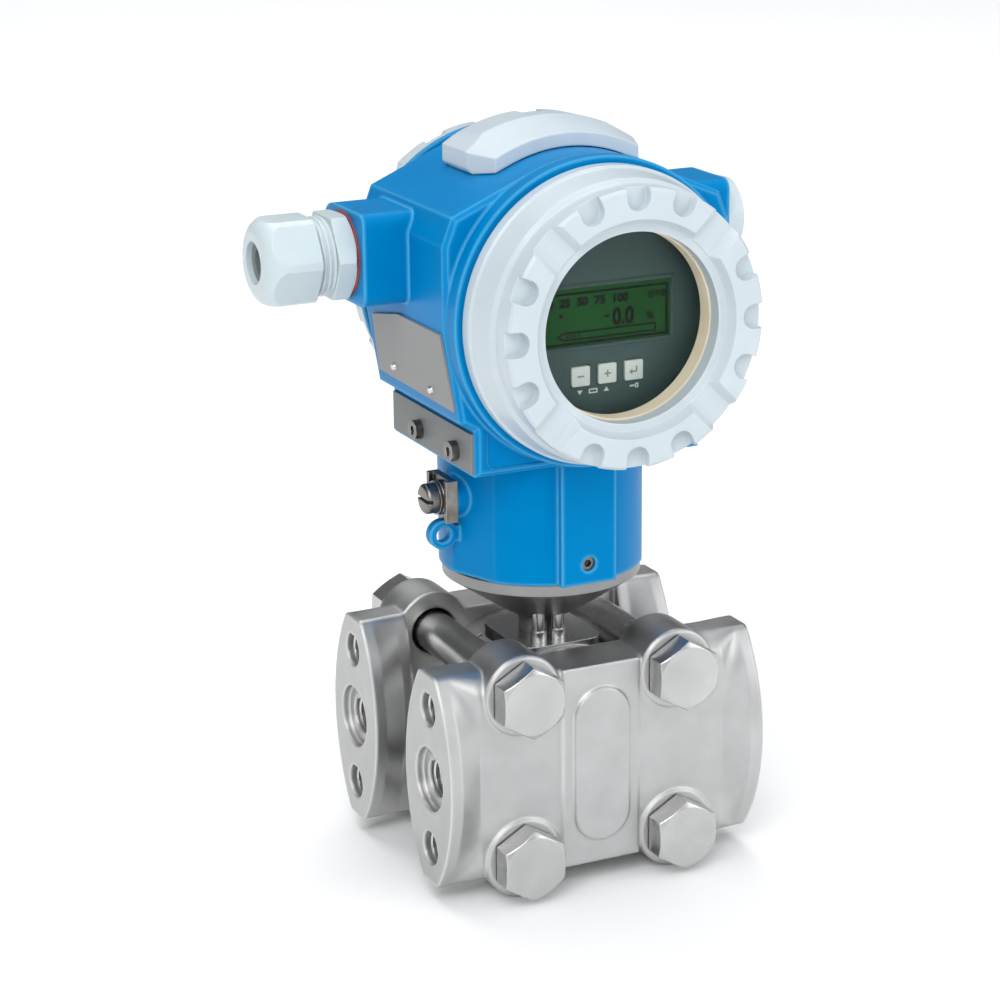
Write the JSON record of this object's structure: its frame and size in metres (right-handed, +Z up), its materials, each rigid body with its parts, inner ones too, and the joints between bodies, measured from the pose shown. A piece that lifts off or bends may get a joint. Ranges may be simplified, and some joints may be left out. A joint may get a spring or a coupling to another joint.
{
  "type": "differential pressure transmitter",
  "caption": "Pressure transmitter: two bolted process flanges clamp a sensor cell, and a turning two-chamber housing with a display window and cable gland stands on its neck.",
  "frame": {"origin": "centre of the four fastening holes, on the process faces of the two flanges", "axes": "-X points out of the process ports, +Z is up along the neck, -Y is the display side"},
  "size_m": [0.1451, 0.109, 0.2138],
  "materials": {
    "flange_steel": "satin cast stainless steel",
    "turned_steel": "turned stainless steel",
    "bolt_steel": "satin stainless steel",
    "small_steel": "bright steel",
    "plate_metal": "matt grey sheet",
    "blue_paint": "gloss blue powder coat",
    "cover_paint": "pale grey powder coat",
    "flap_plastic": "pale grey",
    "gland_plastic": "pale grey",
    "seal_red": "red seal",
    "seal_black": "black seal",
    "insert_rubber": "grey rubber",
    "cement": "cream cement",
    "window_glass": "clear glass",
    "bezel_plastic": "dark slate",
    "lcd": "dark green",
    "key_plastic": "off-white",
    "outer_key_plastic": "black",
    "board": "green laminate",
    "insert_plastic": "dark plastic",
    "terminal_plastic": "green plastic"
  },
  "bodies": {
    "sensor": {"front_flange": "flange_steel", "rear_flange": "flange_steel", "vent_plugs": "turned_steel", "flange_bolts": "bolt_steel", "flange_nuts": "bolt_steel", "cell_body": "flange_steel", "high_side_diaphragm": "turned_steel", "low_side_diaphragm": "turned_steel", "fill_tubes": "turned_steel", "sensor_neck": "turned_steel", "flange_seals": "seal_black", "neck_seal": "seal_black", "sensor_board": "board"},
    "housing": {"housing": "blue_paint", "lock_screw": "small_steel", "ground_clamp": "small_steel", "ground_washers": "small_steel", "ground_screw": "small_steel", "name_plate": "plate_metal", "plate_rivets": "small_steel", "lower_plate": "plate_metal", "lower_plate_screws": "small_steel", "gland_seal_ring": "seal_red", "gland_body": "gland_plastic", "blind_plug_seal": "seal_red", "blind_plug": "gland_plastic", "flap_hinge_pin": "small_steel", "key_gasket": "seal_black", "electronics_insert": "insert_plastic", "insert_screws": "small_steel", "main_board": "board", "terminal_block": "terminal_plastic", "terminal_screws": "small_steel", "inner_ground_screw": "small_steel"},
    "front_cover_travel": {"front_cover_seal": "seal_black"},
    "front_cover": {"front_cover": "cover_paint", "window_cement": "cement", "cover_window": "window_glass"},
    "rear_cover_travel": {"rear_cover_seal": "seal_black"},
    "rear_cover": {"rear_cover": "cover_paint"},
    "gland_travel": {"gland_insert": "insert_rubber"},
    "gland_nut": {"gland_nut": "gland_plastic"},
    "key_flap": {"key_flap": "flap_plastic"},
    "outer_key_left": {"outer_key_left": "outer_key_plastic"},
    "outer_key_middle": {"outer_key_middle": "outer_key_plastic"},
    "outer_key_right": {"outer_key_right": "outer_key_plastic"},
    "display": {"display_bezel": "bezel_plastic", "lcd_panel": "lcd", "display_board": "board"},
    "display_key_left": {"display_key_left": "key_plastic"},
    "display_key_middle": {"display_key_middle": "key_plastic"},
    "display_key_right": {"display_key_right": "key_plastic"}
  },
  "joints": [
    {"name": "housing_turn", "type": "hinge", "parent": "sensor", "child": "housing", "pos_m": [0.048, 0, 0.06], "axis": [0, 0, 1], "range_deg": [-190, 190]},
    {"name": "front_cover_out", "type": "slide", "parent": "housing", "child": "front_cover_travel", "axis": [0, -1, 0], "range_m": [0, 0.009]},
    {"name": "front_cover_turn", "type": "hinge", "parent": "front_cover_travel", "child": "front_cover", "pos_m": [0.048, -0.04, 0.129], "axis": [0, -1, 0], "range_deg": [0, 1620]},
    {"name": "rear_cover_out", "type": "slide", "parent": "housing", "child": "rear_cover_travel", "axis": [0, 1, 0], "range_m": [0, 0.009]},
    {"name": "rear_cover_turn", "type": "hinge", "parent": "rear_cover_travel", "child": "rear_cover", "pos_m": [0.048, 0.03, 0.129], "axis": [0, 1, 0], "range_deg": [0, 1620]},
    {"name": "gland_out", "type": "slide", "parent": "housing", "child": "gland_travel", "axis": [-1, 0, 0], "range_m": [0, 0.006]},
    {"name": "gland_nut_turn", "type": "hinge", "parent": "gland_travel", "child": "gland_nut", "pos_m": [-0.02, 0.0059, 0.143], "axis": [-1, 0, 0], "range_deg": [0, 1440]},
    {"name": "key_flap_swing", "type": "hinge", "parent": "housing", "child": "key_flap", "pos_m": [0.048, 0.0055, 0.1749], "axis": [-1, 0, 0], "range_deg": [0, 95]},
    {"name": "display_turn", "type": "hinge", "parent": "housing", "child": "display", "pos_m": [0.048, -0.034, 0.129], "axis": [0, -1, 0], "range_deg": [-90, 180]},
    {"name": "outer_key_left_press", "type": "slide", "parent": "housing", "child": "outer_key_left", "axis": [0, 0, -1], "range_m": [0, 0.0012], "stiffness_N_per_m": 300, "springref_m": -0.001},
    {"name": "outer_key_middle_press", "type": "slide", "parent": "housing", "child": "outer_key_middle", "axis": [0, 0, -1], "range_m": [0, 0.0012], "stiffness_N_per_m": 300, "springref_m": -0.001},
    {"name": "outer_key_right_press", "type": "slide", "parent": "housing", "child": "outer_key_right", "axis": [0, 0, -1], "range_m": [0, 0.0012], "stiffness_N_per_m": 300, "springref_m": -0.001},
    {"name": "display_key_left_press", "type": "slide", "parent": "display", "child": "display_key_left", "axis": [0, 1, 0], "range_m": [0, 0.0008], "stiffness_N_per_m": 300, "springref_m": -0.001},
    {"name": "display_key_middle_press", "type": "slide", "parent": "display", "child": "display_key_middle", "axis": [0, 1, 0], "range_m": [0, 0.0008], "stiffness_N_per_m": 300, "springref_m": -0.001},
    {"name": "display_key_right_press", "type": "slide", "parent": "display", "child": "display_key_right", "axis": [0, 1, 0], "range_m": [0, 0.0008], "stiffness_N_per_m": 300, "springref_m": -0.001}
  ],
  "couplings": [
    {"joint": "front_cover_out", "follows": "front_cover_turn", "m_per_rad": 0.00031831},
    {"joint": "rear_cover_out", "follows": "rear_cover_turn", "m_per_rad": 0.00031831},
    {"joint": "gland_out", "follows": "gland_nut_turn", "m_per_rad": 0.00023873}
  ]
}
